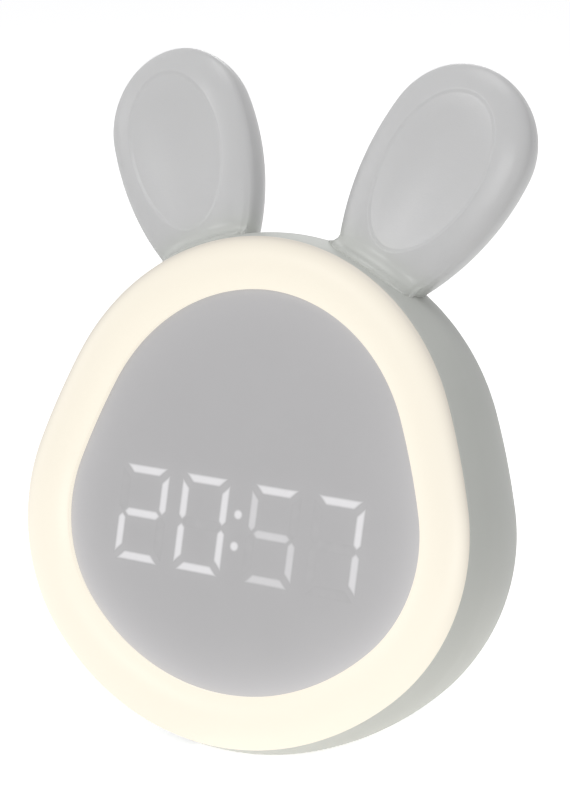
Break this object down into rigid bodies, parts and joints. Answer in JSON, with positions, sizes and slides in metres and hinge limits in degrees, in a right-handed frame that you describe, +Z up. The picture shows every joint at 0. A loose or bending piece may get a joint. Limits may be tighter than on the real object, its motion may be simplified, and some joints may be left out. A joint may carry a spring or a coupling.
{
  "type": "kids alarm clock with night light",
  "caption": "Egg-shaped alarm clock with two ears, a glowing ring round a digit display, rear buttons, a slide switch and rubber feet.",
  "frame": {"origin": "middle of the footprint, on the surface that the feet stand on", "axes": "+Z up, +X to the right of a viewer who faces the display, +Y towards the rear cover; the display leans back 13.9 degrees from upright"},
  "size_m": [0.1284, 0.0731, 0.1642],
  "materials": {
    "housing_plastic": "satin moulded shell, warm light grey-white",
    "ear_plastic": "satin moulded ear, light grey-white",
    "ring_diffuser": "milky diffuser lit warm from inside",
    "window_plastic": "satin translucent grey window",
    "tray_plastic": "white inner moulding",
    "lit_bars": "light pipes lit white",
    "unlit_bars": "light pipes that are dark, the window's grey",
    "circuit_board": "green solder mask",
    "lamp_chips": "lamp chips with pale yellow filling",
    "black_plastic": "black moulding",
    "steel": "bright plated steel",
    "connector_plastic": "ivory connector moulding",
    "flex_film": "amber film cable",
    "cell_sleeve": "blue plastic sleeve on a metal can",
    "speaker_metal": "dark pressed frame and magnet",
    "rubber": "soft foam rubber",
    "foot_rubber": "grey rubber pad",
    "screws": "zinc-plated screw",
    "button_plastic": "satin moulded cap"
  },
  "bodies": {
    "clock": {"backup_cell": "steel", "backup_cell_clip": "steel", "ballast_plate": "steel", "battery_cell": "cell_sleeve", "battery_contacts": "steel", "battery_cradle": "black_plastic", "battery_strap": "steel", "board_screws": "screws", "charging_socket": "steel", "clock_chip": "black_plastic", "colon_dots": "lit_bars", "cover_screws": "screws", "cradle_screws": "screws", "digit_frame": "tray_plastic", "display_board": "circuit_board", "display_window": "window_plastic", "ear_screws": "screws", "ear_washers": "screws", "flex_cable": "flex_film", "flex_connectors": "connector_plastic", "foot_pads": "foot_rubber", "left_ear": "ear_plastic", "light_ring": "ring_diffuser", "light_tray": "tray_plastic", "main_board": "circuit_board", "main_shell": "housing_plastic", "rear_cover": "housing_plastic", "right_ear": "ear_plastic", "ring_led_board": "circuit_board", "ring_leds": "lamp_chips", "segment_leds": "lamp_chips", "segments_lit": "lit_bars", "segments_unlit": "unlit_bars", "slide_switch_case": "black_plastic", "speaker_clamp": "black_plastic", "speaker_driver": "speaker_metal", "speaker_gasket": "rubber", "tact_switches": "black_plastic", "tray_screws": "screws"},
    "button_mode": {"button_mode": "button_plastic"},
    "button_down": {"button_down": "button_plastic"},
    "button_up": {"button_up": "button_plastic"},
    "button_light": {"button_light": "button_plastic"},
    "alarm_switch": {"alarm_switch_knob": "button_plastic"}
  },
  "joints": [
    {"name": "button_mode_press", "type": "slide", "parent": "clock", "child": "button_mode", "axis": [0, -0.9707, 0.2402], "range_m": [0, 0.0005], "stiffness_N_per_m": 2000, "springref_m": -0.0004},
    {"name": "button_down_press", "type": "slide", "parent": "clock", "child": "button_down", "axis": [0, -0.9707, 0.2402], "range_m": [0, 0.0005], "stiffness_N_per_m": 2000, "springref_m": -0.0004},
    {"name": "button_up_press", "type": "slide", "parent": "clock", "child": "button_up", "axis": [0, -0.9707, 0.2402], "range_m": [0, 0.0005], "stiffness_N_per_m": 2000, "springref_m": -0.0004},
    {"name": "button_light_press", "type": "slide", "parent": "clock", "child": "button_light", "axis": [0, -0.9707, 0.2402], "range_m": [0, 0.0005], "stiffness_N_per_m": 2000, "springref_m": -0.0004},
    {"name": "alarm_switch_slide", "type": "slide", "parent": "clock", "child": "alarm_switch", "axis": [1, 0, 0], "range_m": [0, 0.003]}
  ]
}
